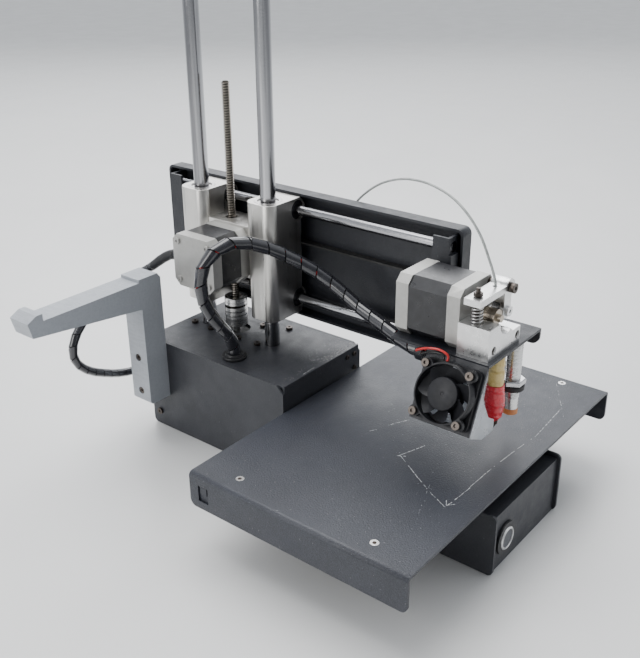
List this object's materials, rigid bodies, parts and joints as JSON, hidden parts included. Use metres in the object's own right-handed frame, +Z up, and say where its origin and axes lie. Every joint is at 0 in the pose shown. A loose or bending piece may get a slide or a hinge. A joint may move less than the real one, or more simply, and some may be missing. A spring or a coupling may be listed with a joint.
{
  "type": "cantilever 3d printer",
  "caption": "Desktop cantilever 3D printer with a sliding bed, a sheet steel arm on two vertical rods and a direct-drive extruder.",
  "frame": {"origin": "on the base underside, at x = 0 near the base's centre line, midway between the two vertical guide rods in y", "axes": "+Z up, -Y towards the front with the power button, +X along the bed's travel; the steel arm lies on the +X side of the rods"},
  "size_m": [0.302, 0.3715, 0.4],
  "materials": {
    "black_steel": "black textured powder coat",
    "bed_steel": "worn black powder coat with dust and scratches",
    "chrome_rod": "polished hard chrome",
    "block_alu": "vertical brushed aluminium",
    "bright_alu": "satin machined aluminium",
    "cap_grey": "cast grey aluminium",
    "stack_black": "satin black lacquer",
    "black_plastic": "moulded black plastic",
    "spool_plastic": "printed grey plastic with layer lines",
    "screw_dark": "blackened steel",
    "screw_silver": "plated steel",
    "lead_steel": "oiled dark steel",
    "brass": "turned brass",
    "hob_steel": "warm hardened steel",
    "yellow_tape": "yellow heat tape",
    "red_tape": "red silicone tape",
    "nozzle_dark": "sooted brass",
    "orange_tip": "orange sensor face",
    "clear_duct": "clear plastic sheet",
    "board_green": "circuit board",
    "cord_black": "black spiral wrap",
    "filament_grey": "translucent grey filament",
    "wire_red": "insulated wire",
    "belt_black": "ribbed belt"
  },
  "bodies": {
    "base": {"base_box": "black_steel", "left_cover": "black_steel", "right_cover": "black_steel", "bottom_plate": "black_steel", "rod_clamps": "block_alu", "z_rods": "chrome_rod", "tunnel_channel": "black_steel", "tunnel_cover": "black_steel", "button_bezel": "black_plastic", "x_motor": "stack_black", "x_bearings": "screw_silver", "z_motor": "stack_black", "controller_board": "board_green", "cable_glands": "black_plastic", "spool_holder": "spool_plastic", "base_screws": "screw_dark", "harness": "cord_black", "y_motor_cable": "cord_black"},
    "bed": {"bed_plate": "bed_steel", "bed_screws": "screw_silver", "rod_brackets": "block_alu", "x_rods": "chrome_rod", "x_belt": "belt_black"},
    "x_drive": {"x_pulley": "bright_alu"},
    "z_screw": {"lead_screw": "lead_steel", "coupler": "bright_alu"},
    "z_carriage": {"bearing_blocks": "block_alu", "z_bearings": "screw_silver", "y_bearings": "screw_silver", "motor_plate": "block_alu", "z_nut": "brass", "y_motor_stack": "stack_black", "y_motor_caps": "cap_grey"},
    "y_drive": {"y_pulley": "bright_alu"},
    "arm": {"arm_channel": "black_steel", "rod_carrier": "black_steel", "y_rods": "chrome_rod", "y_belt": "belt_black", "extruder_bracket": "black_steel", "e_motor_stack": "stack_black", "e_motor_caps": "cap_grey", "extruder_block": "bright_alu", "extruder_screws": "screw_dark", "idler_spring": "screw_silver", "heat_barrel": "yellow_tape", "heater_block": "red_tape", "nozzle": "nozzle_dark", "probe_body": "screw_silver", "probe_tip": "orange_tip", "fan_frame": "black_plastic", "fan_screws": "screw_dark", "fan_duct": "clear_duct", "fan_wires": "wire_red", "harness_clip": "black_plastic", "filament": "filament_grey"},
    "extruder_drive": {"drive_gear": "hob_steel"},
    "lever": {"idler_lever": "bright_alu"},
    "idler": {"idler_bearing": "screw_silver"},
    "rotor": {"fan_rotor": "black_plastic"},
    "button": {"button_cap": "screw_silver"}
  },
  "joints": [
    {"name": "bed_slide", "type": "slide", "parent": "base", "child": "bed", "axis": [1, 0, 0], "range_m": [-0.072, 0.077]},
    {"name": "z_lift", "type": "slide", "parent": "base", "child": "z_carriage", "axis": [0, 0, 1], "range_m": [-0.016, 0.134], "deforming": ["harness", "y_motor_cable"]},
    {"name": "arm_slide", "type": "slide", "parent": "z_carriage", "child": "arm", "axis": [0, 1, 0], "range_m": [-0.022, 0.119], "deforming": ["harness"]},
    {"name": "z_screw_spin", "type": "hinge", "parent": "base", "child": "z_screw", "pos_m": [0.0115, 0.008, 0.1], "axis": [0, 0, 1], "range_deg": [-3700, 30500]},
    {"name": "x_pulley_spin", "type": "hinge", "parent": "base", "child": "x_drive", "pos_m": [-0.001, -0.181, 0.024], "axis": [0, 1, 0], "range_deg": [-700, 700]},
    {"name": "y_pulley_spin", "type": "hinge", "parent": "z_carriage", "child": "y_drive", "pos_m": [0.03, 0, 0.155], "axis": [1, 0, 0], "range_deg": [-1200, 300]},
    {"name": "drive_gear_spin", "type": "hinge", "parent": "arm", "child": "extruder_drive", "pos_m": [-0.0045, -0.235, 0.163], "axis": [0, 1, 0], "continuous": true},
    {"name": "lever_pivot", "type": "hinge", "parent": "arm", "child": "lever", "pos_m": [0.012, -0.233, 0.1785], "axis": [0, -1, 0], "range_deg": [0, 6], "stiffness_Nm_per_rad": 6, "springref_deg": -5.73, "deforming": ["idler_spring"]},
    {"name": "idler_spin", "type": "hinge", "parent": "lever", "child": "idler", "pos_m": [0.0093, -0.233, 0.163], "axis": [0, 1, 0], "continuous": true},
    {"name": "fan_spin", "type": "hinge", "parent": "arm", "child": "rotor", "pos_m": [-0.04086, -0.2283, 0.11923], "axis": [-0.9063, 0, 0.4226], "continuous": true},
    {"name": "button_press", "type": "slide", "parent": "base", "child": "button", "axis": [0, 1, 0], "range_m": [0, 0.0025], "stiffness_N_per_m": 800, "springref_m": -0.001}
  ],
  "couplings": [
    {"joint": "z_screw_spin", "follows": "z_lift", "rad_per_m": 3141.6},
    {"joint": "x_pulley_spin", "follows": "bed_slide", "rad_per_m": 157.09},
    {"joint": "y_pulley_spin", "follows": "arm_slide", "rad_per_m": -157.09},
    {"joint": "idler_spin", "follows": "drive_gear_spin", "ratio": -0.84615}
  ]
}
